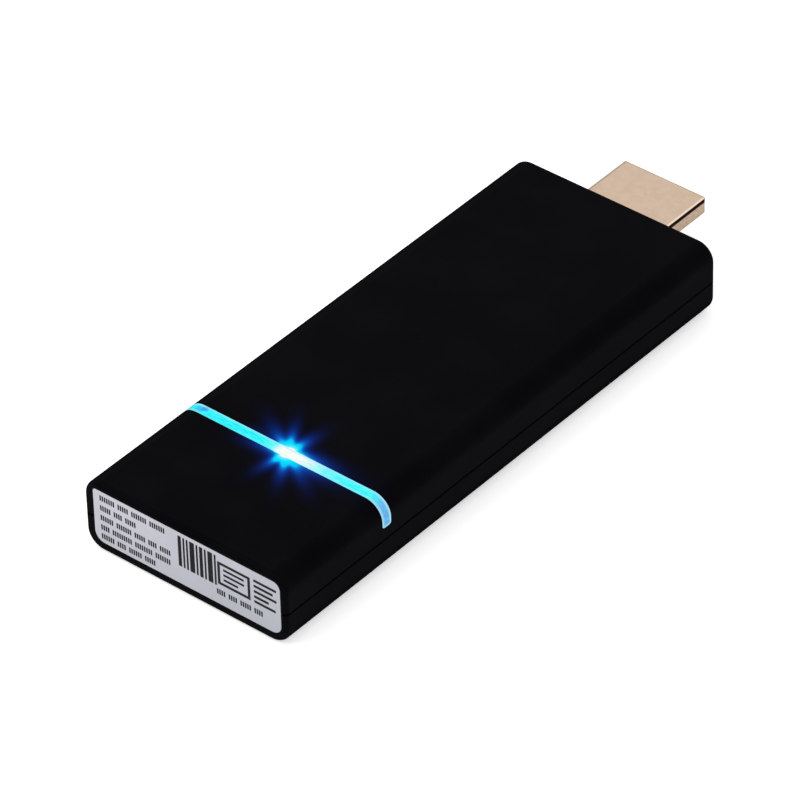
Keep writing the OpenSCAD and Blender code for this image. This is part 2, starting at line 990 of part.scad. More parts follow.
module crystal() {
    x = (processor_w + small_part_gap) / 2;
    y = processor_y - processor_w / 2 - 2 * small_part_gap - crystal_w;
    color(steel_colour) {
        block(x, y, board_top, crystal_l, crystal_w, crystal_h - crystal_lid_h);
        block(
            x, y, board_top + crystal_h - crystal_lid_h,
            crystal_l - 2 * crystal_rim, crystal_w - 2 * crystal_rim, crystal_lid_h
        );
    }
}

// Height of the stem's lower face, just above the lamp
stem_z = board_top + led_h + led_gap;

module status_led() {
    color(lamp_colour) {
        block(led_x, guide_y, board_top, led_l, led_w, led_h - led_lens_h);
        block(
            led_x, guide_y, board_top + led_h - led_lens_h,
            led_l - 2 * led_lens_inset, led_w - 2 * led_lens_inset, led_lens_h
        );
    }
}

module led_gasket() {
    top = ceiling_z - flange_t;
    inner_l = stem_l + 2 * gasket_clear;
    inner_w = guide_w + 2 * gasket_clear;
    color(foam_colour) difference() {
        block(
            led_x, guide_y, board_top,
            inner_l + 2 * gasket_t, inner_w + 2 * gasket_t, top - board_top
        );
        block(
            led_x, guide_y, board_top - overrun,
            inner_l, inner_w, top - board_top + 2 * overrun
        );
    }
}

// The radio module lies at the board's near edge
wifi_x = -board_edge_x + wifi_from_side + wifi_w / 2;
wifi_y = board_near_y + wifi_from_end + wifi_l / 2;
shield_x = wifi_x - wifi_w / 2 + wifi_margin + shield_w / 2;

module wifi_module() {
    color(board_colour) block(wifi_x, wifi_y, board_top, wifi_w, wifi_l, wifi_t);
}

module wifi_shield() {
    z = board_top + wifi_t;
    color(steel_colour) difference() {
        block(shield_x, wifi_y, z, shield_w, shield_l, shield_h);
        block(
            shield_x, wifi_y, z - overrun,
            shield_w - 2 * shield_t, shield_l - 2 * shield_t, shield_h - shield_t + overrun
        );
        for (i = [-1, 0, 1], j = [-1, 0, 1])
            translate([
                shield_x + i * shield_hole_pitch, wifi_y + j * shield_hole_pitch,
                z + shield_h - shield_t - overrun
            ])
                cylinder(r = shield_hole_r, h = shield_t + 2 * overrun);
    }
}

// The antenna board stands against the near end wall
antenna_z = housing_h / 2 - antenna_h / 2;
antenna_face_y = near_y + wall_t + antenna_t;

module antenna_blank() {
    block(
        antenna_x, near_y + wall_t + antenna_t / 2, antenna_z,
        antenna_l, antenna_t, antenna_h
    );
}

module antenna_board() {
    color(board_colour) antenna_blank();
}

// The lead runs from the antenna board over the main board to its plug on the radio module
antenna_plug_place = [wifi_x + antenna_plug_x, wifi_y + antenna_plug_y];
lead_z = board_top + wifi_t + antenna_plug_h / 2;
lead_x = antenna_plug_place[0] + antenna_plug_r + lead_run + lead_bend_r;

module antenna_lead() {
    bend_y = antenna_plug_place[1] - lead_bend_r;
    color(black_colour) translate([0, 0, lead_z]) {
        translate([lead_x, antenna_face_y, 0]) rotate([-90, 0, 0])
            cylinder(r = lead_r, h = bend_y - antenna_face_y);
        translate([lead_x - lead_bend_r, bend_y, 0])
            rotate_extrude(angle = 90) translate([lead_bend_r, 0]) circle(lead_r);
        translate([antenna_plug_place[0] + antenna_plug_r, antenna_plug_place[1], 0])
            rotate([0, 90, 0]) cylinder(r = lead_r, h = lead_run);
    }
}

module antenna_plug() {
    color(gold_colour)
        translate([antenna_plug_place[0], antenna_plug_place[1], board_top + wifi_t]) {
            cylinder(r = antenna_plug_r, h = antenna_plug_h);
            translate([0, -antenna_crimp_w / 2, 0])
                cube([antenna_plug_r, antenna_crimp_w, antenna_plug_h]);
        }
}

upper_shell();
lower_shell();
light_guide();
end_label();
plug_shell();
plug_insulator();
plug_contacts();
main_board();
board_screws();
socket_shell();
socket_tongue();
socket_contacts();
reset_button();
switch_base();
switch_plunger();
switch_cover();
processor();
memory_chips();
flash_chip();
thermal_pad();
heat_spreader();
power_chip();
power_coils();
capacitors();
resistors();
line_filters();
crystal();
status_led();
led_gasket();
wifi_module();
wifi_shield();
antenna_board();
antenna_lead();
antenna_plug();
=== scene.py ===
import json
import math

import bmesh
import bpy
from mathutils import Matrix, Vector

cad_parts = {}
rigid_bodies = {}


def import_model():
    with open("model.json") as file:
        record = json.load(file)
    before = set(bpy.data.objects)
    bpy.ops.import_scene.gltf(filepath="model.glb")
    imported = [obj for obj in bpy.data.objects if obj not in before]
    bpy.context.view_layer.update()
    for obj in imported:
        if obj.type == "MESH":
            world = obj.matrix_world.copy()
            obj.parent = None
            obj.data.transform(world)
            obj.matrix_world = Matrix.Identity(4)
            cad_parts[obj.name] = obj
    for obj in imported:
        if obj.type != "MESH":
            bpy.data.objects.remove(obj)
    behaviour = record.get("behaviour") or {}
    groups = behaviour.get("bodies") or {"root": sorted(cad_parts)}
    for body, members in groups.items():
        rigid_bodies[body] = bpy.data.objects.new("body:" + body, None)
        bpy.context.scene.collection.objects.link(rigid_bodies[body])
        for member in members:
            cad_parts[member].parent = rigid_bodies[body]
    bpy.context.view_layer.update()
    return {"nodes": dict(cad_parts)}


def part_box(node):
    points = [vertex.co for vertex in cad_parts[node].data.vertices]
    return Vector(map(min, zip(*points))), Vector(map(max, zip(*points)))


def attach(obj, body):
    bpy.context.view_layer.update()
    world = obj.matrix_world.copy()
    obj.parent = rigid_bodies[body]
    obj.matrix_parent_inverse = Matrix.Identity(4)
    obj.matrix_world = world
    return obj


MM = 0.001

for leftover in list(bpy.data.objects):
    bpy.data.objects.remove(leftover)

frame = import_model()
nodes = frame["nodes"]

# Places taken from the frame, in metres
housing_low = Vector([min(pair) for pair in zip(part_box("upper_shell")[0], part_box("lower_shell")[0])])
housing_high = Vector([max(pair) for pair in zip(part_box("upper_shell")[1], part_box("lower_shell")[1])])
housing_middle = (housing_low + housing_high) / 2
guide_low, guide_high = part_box("light_guide")
lamp_low, lamp_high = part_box("status_led")
label_low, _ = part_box("end_label")
_, plug_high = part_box("plug_shell")
button_low, button_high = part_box("reset_button")

# The places that the looks use, in millimetres
housing_top = housing_high.z / MM
guide_top = guide_high.z / MM
guide_y = (guide_low.y + guide_high.y) / 2 / MM
guide_half = (guide_high.y - guide_low.y) / 2 / MM
lamp_x = (lamp_low.x + lamp_high.x) / 2 / MM
seam_z = (button_low.z + button_high.z) / 2 / MM
plug_top = plug_high.z / MM
plug_half = plug_high.x / MM
plug_tip = plug_high.y / MM

# Camera, fitted to the photograph's outline
CAMERA_AZIMUTH = math.radians(40.59)
CAMERA_ELEVATION = math.radians(38.26)
CAMERA_ROLL = math.radians(-1.59)
CAMERA_DISTANCE = 800 * MM
CAMERA_SIDE_STEP = -0.90 * MM
CAMERA_UP_STEP = -1.08 * MM
CAMERA_LENS = 278.8
CAMERA_NEAR = 50 * MM
SENSOR_WIDTH = 36.0

# Light and floor
WHITE = (1.0, 1.0, 1.0)
WORLD_FOR_DIFFUSE = 0.78
WORLD_WHEN_SEEN = 1.0
SOFTBOX_ENERGY = 0.55
SOFTBOX_SIZE = 300 * MM
SOFTBOX_PLACE = Vector((-180, -260, 420)) * MM
FLOOR_HALF_WIDTH = 1.5
FLOOR_WHITE = 0.96
FLOOR_ROUGHNESS = 0.9
FLOOR_GLOW = 0.5

# Sockets of a Mix node that take and give colours
MIX_SHARE, MIX_FIRST, MIX_SECOND, MIX_RESULT = 0, 6, 7, 2


def with_alpha(value):
    """A colour of three numbers gets its fourth. Anything else stays as it is."""
    return (*value, 1.0) if isinstance(value, tuple) and len(value) == 3 else value


class Look:
    """A node material, with short calls for the nodes that the looks share.

    Lengths are in millimetres, in the object's own frame."""

    def __init__(self, name, roughness=0.5, metallic=0.0, specular=0.5):
        self.material = bpy.data.materials.new(name)
        self.material.use_nodes = True
        self.tree = self.material.node_tree
        self.shader = self.tree.nodes["Principled BSDF"]
        self.put("Roughness", roughness)
        self.put("Metallic", metallic)
        self.put("Specular IOR Level", specular)
        coordinates = self.tree.nodes.new("ShaderNodeTexCoord")
        self.place = self.scaled(coordinates.outputs["Object"], (1 / MM,) * 3)
        split = self.tree.nodes.new("ShaderNodeSeparateXYZ")
        self.tree.links.new(self.place, split.inputs[0])
        self.x, self.y, self.z = split.outputs

    def feed(self, value, socket):
        if isinstance(value, bpy.types.NodeSocket):
            self.tree.links.new(value, socket)
        else:
            socket.default_value = value

    def put(self, name, value):
        self.feed(with_alpha(value), self.shader.inputs[name])

    def maths(self, operation, *values):
        node = self.tree.nodes.new("ShaderNodeMath")
        node.operation = operation
        for value, socket in zip(values, node.inputs):
            self.feed(value, socket)
        return node.outputs[0]

    def plus(self, first, second):
        return self.maths("ADD", first, second)

    def minus(self, first, second):
        return self.maths("SUBTRACT", first, second)

    def times(self, first, second):
        return self.maths("MULTIPLY", first, second)

    def times_plus(self, first, second, third):
        """first times second, plus third."""
        return self.maths("MULTIPLY_ADD", first, second, third)

    def larger(self, first, second):
        return self.maths("MAXIMUM", first, second)

    def smaller(self, first, second):
        return self.maths("MINIMUM", first, second)

    def squares(self, first, second):
        """first squared plus second squared."""
        return self.plus(self.times(first, first), self.times(second, second))

    def scaled(self, vector, factors):
        node = self.tree.nodes.new("ShaderNodeVectorMath")
        node.operation = "MULTIPLY"
        self.feed(vector, node.inputs[0])
        node.inputs[1].default_value = factors
        return node.outputs[0]

    def noise(self, size, detail=2.0, stretch=(1, 1, 1)):
        node = self.tree.nodes.new("ShaderNodeTexNoise")
        self.feed(self.scaled(self.place, stretch), node.inputs["Vector"])
        node.inputs["Scale"].default_value = 1 / size
        node.inputs["Detail"].default_value = detail
        return node.outputs["Fac"]

    def cells(self, size):
        node = self.tree.nodes.new("ShaderNodeTexVoronoi")
        self.feed(self.place, node.inputs["Vector"])
        node.inputs["Scale"].default_value = 1 / size
        return node.outputs["Distance"]

    def facing(self):
        """0 where the surface faces the eye, 1 at its outline. Used for gloss alone."""
        return self.tree.nodes.new("ShaderNodeLayerWeight").outputs["Facing"]

    def fade(self, value, start, end):
        """0 where value is at start, 1 where it is at end, smooth between."""
        node = self.tree.nodes.new("ShaderNodeMapRange")
        node.interpolation_type = "SMOOTHSTEP"
        self.feed(value, node.inputs["Value"])
        node.inputs["From Min"].default_value = start
        node.inputs["From Max"].default_value = end
        return node.outputs["Result"]

    def between(self, value, low, high):
        """value from 0 to 1 turned into low to high."""
        return self.times_plus(value, high - low, low)

    def rise(self, value, rate, limit):
        """0 at value 0, and closer to limit as value grows."""
        left = self.maths("EXPONENT", self.times(value, -rate))
        return self.times_plus(left, -limit, limit)

    def mix(self, share, first, second):
        node = self.tree.nodes.new("ShaderNodeMix")
        node.data_type = "RGBA"
        for value, socket in ((share, MIX_SHARE), (first, MIX_FIRST), (second, MIX_SECOND)):
            self.feed(with_alpha(value), node.inputs[socket])
        return node.outputs[MIX_RESULT]

    def colour(self, red, green, blue):
        node = self.tree.nodes.new("ShaderNodeCombineColor")
        for value, socket in zip((red, green, blue), node.inputs):
            self.feed(value, socket)
        return node.outputs[0]

    def bump(self, height, depth):
        node = self.tree.nodes.new("ShaderNodeBump")
        node.inputs["Distance"].default_value = depth * MM
        self.feed(height, node.inputs["Height"])
        self.put("Normal", node.outputs["Normal"])


# Moulded surfaces: sizes in millimetres, and ranges of noise or distance from 0 to 1
CLOUD_SIZE = 9.0
CLOUD_RANGE = (0.35, 0.7)
CLOUD_ROUGHNESS = 0.02
DUST_SPACING = 3.1
DUST_RANGE = (0.09, 0.03)
DUST_SHARE = 0.25
GRAIN_ROUGHNESS = 0.06
MATT_RANGE = (0.36, 0.76)


def moulded(name, dark, light, roughness, grain=0.12, depth=0.012, specular=0.5, matt_outline=0.0):
    """Moulded plastic or resin: fine spark-eroded grain, faint flow clouds and a few dust marks."""
    look = Look(name, specular=specular)
    fine = look.noise(grain, detail=3)
    clouds = look.fade(look.noise(CLOUD_SIZE, detail=3), *CLOUD_RANGE)
    dust = look.fade(look.cells(DUST_SPACING), *DUST_RANGE)
    look.tone = look.mix(look.times(dust, DUST_SHARE), look.mix(clouds, dark, light), light)
    look.put("Base Color", look.tone)
    rough = look.between(fine, roughness - GRAIN_ROUGHNESS, roughness + GRAIN_ROUGHNESS)
    rough = look.times_plus(clouds, CLOUD_ROUGHNESS, rough)
    if matt_outline:
        rough = look.times_plus(look.fade(look.facing(), *MATT_RANGE), matt_outline, rough)
    look.rough = rough
    look.put("Roughness", rough)
    look.bump(fine, depth)
    return look


# Metals: sizes in millimetres
METAL_LINE_SIZE = 0.5
METAL_TONE_SIZE = 2.6
METAL_RANGE = (0.35, 0.65)
METAL_ROUGHNESS = 0.07
METAL_BRUSHED = (1, 14, 14)
METAL_DEPTH = 0.004


def metal(name, colour, deep, roughness):
    """Plated or rolled metal: fine lines along one axis and slow changes of tone."""
    look = Look(name, metallic=1.0)
    lines = look.noise(METAL_LINE_SIZE, detail=4, stretch=METAL_BRUSHED)
    tone = look.noise(METAL_TONE_SIZE, detail=3)
    share = look.times_plus(lines, 0.5, look.times(tone, 0.5))
    look.put("Base Color", look.mix(look.fade(share, *METAL_RANGE), deep, colour))
    look.put("Roughness", look.between(lines, roughness - METAL_ROUGHNESS, roughness + METAL_ROUGHNESS))
    look.bump(lines, METAL_DEPTH)
    return look


# Rays of light round the lamp on the top face: direction in degrees, distance in millimetres at
# which it is still bright, how fast it fades with distance, and how narrow it is
RAYS = (
    (121, 2.42, 0.82, 16.7),
    (149, 2.00, 0.68, 12.4),
    (82, 1.86, 0.89, 8.2),
    (0, 2.94, 0.52, 4.0),
    (-32, 2.24, 0.63, 15.4),
    (-60, 2.64, 0.85, 14.4),
    (-98, 2.05, 0.97, 11.0),
    (-168, 1.61, 0.78, 9.3),
)
# The glow's middle, right of the lamp's, in millimetres
GLOW_MIDDLE = 0.15
HALO_DECAY = -1.89
HALO_REACH = 1.26
# Light beside the strip: its share, how fast it fades, and where along the strip it ends and is full
SPILL_SHARE = 0.08
SPILL_DECAY = -1.5
SPILL_RANGE = (9.3, 2.0)
# The most light at a distance from the lamp, which falls to 1, with more inside the white core
MOST_FALL = -0.8
MOST_AT_LAMP = 3.0
CORE_RANGE = (1.15, 0.85)
CORE_EXTRA = 2.0
# Depths below the top face at which the glow is gone and is full
GLOW_DEPTHS = (1.2, 0.2)
# How light turns into colour: up to the knee the blue follows it, and above the knee it pales
GLOW_KNEE = 0.9
GREEN_CUBED = 0.55
GREEN_PLAIN = 0.1
GREEN_RISE = (1.25, 0.47)
BLUE_RISE = (8.0, 0.07)
RED_RANGE = (1.6, 3.4)


def add_glow(look):
    """Light that spills from the lamp over the shell's top face, as a halo with rays."""
    dx = look.minus(look.x, lamp_x + GLOW_MIDDLE)
    dy = look.minus(look.y, guide_y)
    away = look.maths("SQRT", look.squares(dx, dy))
    angle = look.maths("ARCTAN2", dy, dx)
    light = look.maths("EXPONENT", look.times_plus(away, HALO_DECAY, -HALO_DECAY * HALO_REACH))
    for degrees, reach, decay, sharpness in RAYS:
        turn = look.maths("COSINE", look.minus(angle, math.radians(degrees)))
        turn = look.times(look.minus(turn, 1.0), sharpness)
        lobe = look.maths("EXPONENT", look.times(turn, away))
        along = look.maths("EXPONENT", look.times_plus(away, -decay, decay * reach))
        light = look.times_plus(lobe, along, light)
    beside = look.minus(look.maths("ABSOLUTE", dy), guide_half)
    spill = look.maths("EXPONENT", look.times(look.larger(beside, 0.0), SPILL_DECAY))
    spill_share = look.times(look.fade(away, *SPILL_RANGE), SPILL_SHARE)
    light = look.times_plus(spill, spill_share, light)
    most = look.larger(look.times_plus(away, MOST_FALL, MOST_AT_LAMP), 1.0)
    light = look.smaller(light, look.times_plus(look.fade(away, *CORE_RANGE), CORE_EXTRA, most))
    gone, full = (housing_top - depth for depth in GLOW_DEPTHS)
    light = look.times(light, look.fade(look.z, gone, full))
    low = look.smaller(light, GLOW_KNEE)
    over = look.larger(look.minus(light, GLOW_KNEE), 0.0)
    green = look.times_plus(look.maths("POWER", low, 3.0), GREEN_CUBED, look.times(low, GREEN_PLAIN))
    green = look.plus(green, look.rise(over, *GREEN_RISE))
    blue = look.plus(low, look.rise(over, *BLUE_RISE))
    look.put("Emission Color", look.colour(look.fade(light, *RED_RANGE), green, blue))
    look.put("Emission Strength", 1.0)


SHELL_DARK = (0.0018, 0.0016, 0.0024)
SHELL_LIGHT = (0.0028, 0.0025, 0.0034)
SHELL_ROUGHNESS = 0.4
SHELL_GRAIN = 0.16
SHELL_DEPTH = 0.01
SHELL_SPECULAR = 0.009
SHELL_MATT_OUTLINE = 0.55
# Painted shade in the parting line: its height on each side of the line in millimetres, share and colour
SEAM_HALF = 0.26
SEAM_SHARE = 0.8
SEAM_PAINTED_SHADE = (0.0003, 0.0003, 0.0003)


def shell_look(name):
    """Satin black plastic, with painted shade darkening the parting line, which is also duller."""
    look = moulded(
        name, SHELL_DARK, SHELL_LIGHT, SHELL_ROUGHNESS, grain=SHELL_GRAIN, depth=SHELL_DEPTH,
        specular=SHELL_SPECULAR, matt_outline=SHELL_MATT_OUTLINE,
    )
    from_seam = look.maths("ABSOLUTE", look.minus(look.z, seam_z))
    # Painted shade: a darker, duller band on each side of the parting line
    seam_shade = look.times(look.fade(from_seam, SEAM_HALF, SEAM_HALF / 2), SEAM_SHARE)
    look.put("Base Color", look.mix(seam_shade, look.tone, SEAM_PAINTED_SHADE))
    look.put("Roughness", look.larger(look.rough, seam_shade))
    return look


# The lit strip, with linear colours. A range is the pair of places, in millimetres, at which a
# change starts and ends. ALONG is measured from the glow's middle, X from the housing's middle,
# and REACH also follows the strip down the sides.
STRIP_BASE = (0.01, 0.02, 0.03)
STRIP_STRENGTH = 0.97
STRIP_HALF = 0.85
STRIP_FOOT = 7.15
STREAK_SIZE = 0.3
STREAK_RANGE = (0.36, 0.64)
WHITE_ALONG_LEFT = (-2.4, -1.0)
WHITE_ALONG_RIGHT = (6.9, 1.4)
WHITE_RED = 0.82
LEFT_TAIL_ALONG = (-4.6, -2.2)
LEFT_TAIL_RED = 0.095
RIGHT_TAIL_ALONG = (-2.0, 4.0)
RIGHT_TAIL_END_ALONG = (10.5, 6.5)
RIGHT_TAIL_RED = 0.085
RIGHT_TAIL_START = -0.058
STREAK_RED = 0.04
GREEN_ALONG = (-7.0, 0.0)
STRIP_GREEN = 0.94
STRIP_GREEN_DROP = 0.06
STREAK_GREEN = 0.15
GREEN_OVER_RED = 1.05
GREEN_MOST = 0.96
STRIP_BLUE = 0.96
BLUE_PER_RED = -0.04
# Blue patches near the strip's left end: X, place across the strip, size and share
PATCHES = ((-13.5, 0.25, 0.52, 1.0), (-14.1, -0.15, 0.6, 0.55))
PATCH_BLUE = (0.045, 0.36, 0.84)
PATCH_GRAIN = 0.5
PATCH_RANGE = (1.1, 0.25)
# Reach: how much it counts the way down, how it differs from left to right, and how streaks move it
REACH_PER_DEPTH = 0.75
REACH_PER_X = 0.04
REACH_PER_STREAK = 0.4
END_REACH = (14.6, 18.0)
END_BLUE = (0.165, 0.53, 0.90)
END_DEEP = (0.12, 0.41, 0.76)
END_CLOUD_SIZE = 0.55
END_CLOUD_RANGE = (0.35, 0.65)
# The pale border: where it is clear, its width, and its least and greatest share on each edge
BORDER_PALE = (0.44, 0.80, 0.95)
BORDER_REACH = (14.3, 17.2)
BORDER_LEFT_X = (-13.3, -14.2)
BORDER_LEFT_SHARE = 0.7
BORDER_WIDTHS = (0.5, 0.16)
FAR_SHARES = (0.46, 0.88)
NEAR_SHARES = (0.1, 0.45)
NEAR_RIGHT_ALONG = (-2.0, 6.0)
NEAR_RIGHT_SHARE = 0.22
NEAR_MOST = 0.75
FOOT_HEIGHTS = (0.35, 0.1)
FOOT_SHARE = 0.85
# The strip's left side, which turns away from the lamp
LEFT_SHADE = (0.02, 0.07, 0.09)
LEFT_SHADE_X = (-14.9, -16.1)
LEFT_SHADE_SHARE = 0.5
STRIP_GRAIN = 0.45
STRIP_DEPTH = 0.01


def strip_run(look, along, streaks):
    """Colour along the strip: white right of the lamp, and cyan beyond."""
    white = look.times(look.fade(along, *WHITE_ALONG_LEFT), look.fade(along, *WHITE_ALONG_RIGHT))
    right_tail = look.times_plus(look.fade(along, *RIGHT_TAIL_END_ALONG), RIGHT_TAIL_RED, RIGHT_TAIL_START)
    tail = look.times(look.fade(along, *RIGHT_TAIL_ALONG), right_tail)
    tail = look.times_plus(look.fade(along, *LEFT_TAIL_ALONG), LEFT_TAIL_RED, tail)
    red = look.times_plus(white, WHITE_RED, tail)
    red = look.times_plus(streaks, STREAK_RED, red)
    green = look.between(look.fade(along, *GREEN_ALONG), STRIP_GREEN - STRIP_GREEN_DROP, STRIP_GREEN)
    green = look.times_plus(look.minus(streaks, 0.5), STREAK_GREEN, green)
    green = look.larger(green, look.smaller(look.times(red, GREEN_OVER_RED), GREEN_MOST))
    blue = look.times_plus(red, BLUE_PER_RED, STRIP_BLUE)
    return look.colour(red, green, blue)


def strip_border(look, along, across, ends):
    """Share of the pale border along the strip's two edges and round its foot."""
    outer, inner = BORDER_WIDTHS
    far = look.fade(across, STRIP_HALF - outer, STRIP_HALF - inner)
    far = look.times(far, look.between(ends, *FAR_SHARES))
    near_right = look.fade(along, *NEAR_RIGHT_ALONG)
    near_share = look.times_plus(near_right, NEAR_RIGHT_SHARE, look.between(ends, *NEAR_SHARES))
    near = look.fade(across, outer - STRIP_HALF, inner - STRIP_HALF)
    near = look.times(near, look.smaller(near_share, NEAR_MOST))
    high, low = (STRIP_FOOT + height for height in FOOT_HEIGHTS)
    foot = look.times(look.fade(look.z, high, low), FOOT_SHARE)
    return look.larger(look.larger(far, near), foot)


def guide_look():
    """Clear moulding lit from its middle: white by the lamp, cyan along the run, blue at the ends."""
    look = Look("lit_acrylic", roughness=0.35, specular=0.01)
    look.put("Base Color", STRIP_BASE)
    along = look.minus(look.x, lamp_x + GLOW_MIDDLE)
    across = look.minus(look.y, guide_y)
    grain = look.noise(STRIP_GRAIN, detail=3)
    streaks = look.fade(look.noise(STREAK_SIZE, detail=3, stretch=(0.3, 1, 1)), *STREAK_RANGE)
    run = strip_run(look, along, streaks)
    for patch_x, patch_y, size, share in PATCHES:
        spot = look.squares(look.minus(look.x, patch_x), look.minus(across, patch_y))
        spot = look.times_plus(grain, PATCH_GRAIN, look.maths("DIVIDE", spot, size * size * 2))
        run = look.mix(look.times(look.fade(spot, *PATCH_RANGE), share), run, PATCH_BLUE)
    bend = look.times(look.minus(guide_top, look.z), REACH_PER_DEPTH)
    reach = look.plus(look.maths("ABSOLUTE", look.x), bend)
    reach = look.times_plus(look.x, REACH_PER_X, reach)
    reach = look.times_plus(streaks, REACH_PER_STREAK, reach)
    end_clouds = look.fade(look.noise(END_CLOUD_SIZE, detail=4, stretch=(1, 0.6, 1)), *END_CLOUD_RANGE)
    run = look.mix(look.fade(reach, *END_REACH), run, look.mix(end_clouds, END_BLUE, END_DEEP))
    left_end = look.times(look.fade(look.x, *BORDER_LEFT_X), BORDER_LEFT_SHARE)
    ends = look.larger(look.fade(reach, *BORDER_REACH), left_end)
    run = look.mix(strip_border(look, along, across, ends), run, BORDER_PALE)
    run = look.mix(look.times(look.fade(look.x, *LEFT_SHADE_X), LEFT_SHADE_SHARE), run, LEFT_SHADE)
    look.put("Emission Color", run)
    look.put("Emission Strength", STRIP_STRENGTH)
    look.bump(grain, STRIP_DEPTH)
    return look


FILM_PALE = (0.55, 0.55, 0.62)
FILM_PALER = (0.60, 0.60, 0.67)
FILM_SHADED = (0.48, 0.495, 0.55)
FILM_CLOUD_SIZE = 6.0
FILM_CLOUD_RANGE = (0.3, 0.7)
# Half the way right less the way up, in millimetres, where the shading starts and is full
FILM_SHADE_RANGE = (-17.0, 6.0)
FIBRE_SIZE = 0.35
FIBRE_DEPTH = 0.006
FILM_ROUGHNESS = (0.32, 0.46)


def label_look():
    """Pale plastic film, a little darker towards its lower right corner."""
    look = Look("label_film")
    fibres = look.noise(FIBRE_SIZE, detail=4)
    clouds = look.noise(FILM_CLOUD_SIZE, detail=2)
    film = look.mix(look.fade(clouds, *FILM_CLOUD_RANGE), FILM_PALE, FILM_PALER)
    corner = look.fade(look.times_plus(look.x, 0.5, look.times(look.z, -1.0)), *FILM_SHADE_RANGE)
    look.put("Base Color", look.mix(corner, film, FILM_SHADED))
    look.put("Roughness", look.between(fibres, *FILM_ROUGHNESS))
    look.bump(fibres, FIBRE_DEPTH)
    return look


# The side colours are painted shade on the flanks, and the darker one also colours specks. The pale fold
# colour is a painted highlight, the fold shade is painted shade, and the dark fold colour is a painted dark
# reflection
PLUG_CHAMPAGNE = (0.655, 0.497, 0.378)
PLUG_DEEP = (0.615, 0.458, 0.342)
PLUG_SIDE_SHADE_AND_SPECK = (0.325, 0.230, 0.152)
PLUG_SIDE_SHADE_PALE = (0.432, 0.326, 0.234)
PLUG_SPECK = (0.22, 0.155, 0.105)
FOLD_HIGHLIGHT = (0.92, 0.76, 0.62)
FOLD_SHADE = (0.36, 0.29, 0.235)
FOLD_DARK_REFLECTION = (0.011, 0.0016, 0.0004)
PLUG_ROUGHNESS = (0.27, 0.42)
PLUG_DEPTH = 0.006
# Mottling and marks: sizes in millimetres, and ranges of noise or distance
MOTTLE_SIZE = 1.1
MOTTLE_SHARE = 0.65
FINE_SIZE = 0.25
PLATE_RANGE = (0.38, 0.62)
SPECK_SPACING = 1.9
SPECK_RANGE = (0.1, 0.05)
SPECK_SHARE = 0.25
BLOTCH_SIZE = 0.4
BLOTCH_STRETCH = (1, 0.8, 1.3)
BLOTCH_RANGE = (0.34, 0.66)
SCUFF_SIZE = 0.16
SCUFF_STRETCH = (1, 0.6, 1.2)
SCUFF_RANGE = (0.56, 0.76)
SCUFF_SHARE = 0.45
# Ranges in millimetres. DEPTHS are below the plug's top, INSETS are in from its side, and
# TIP_INSETS are back from its tip.
# These ranges place the painted shade, painted highlight and painted dark reflection on the plate
LOWER_SHADE_DEPTHS = (1.5, 2.4)
LOWER_SHADE_SHARE = 0.5
SIDE_INSETS = (0.05, 0.01)
BEVEL_DEPTHS = (2.2, 2.4)
RIDGE_INSETS = (0.42, 0.25)
RIDGE_DEPTHS = (0.2, 0.1)
LEFT_SHADE_INSETS = (0.66, 0.48)
LEFT_FOLD_SHARE = 0.85
RIM_TIP_INSETS = (0.42, 0.28)
RIM_SHARE = 0.6
LINE_LOW_DEPTHS = (0.68, 0.6)
LINE_HIGH_DEPTHS = (0.10, 0.17)
LINE_INSETS = (0.4, 0.3)


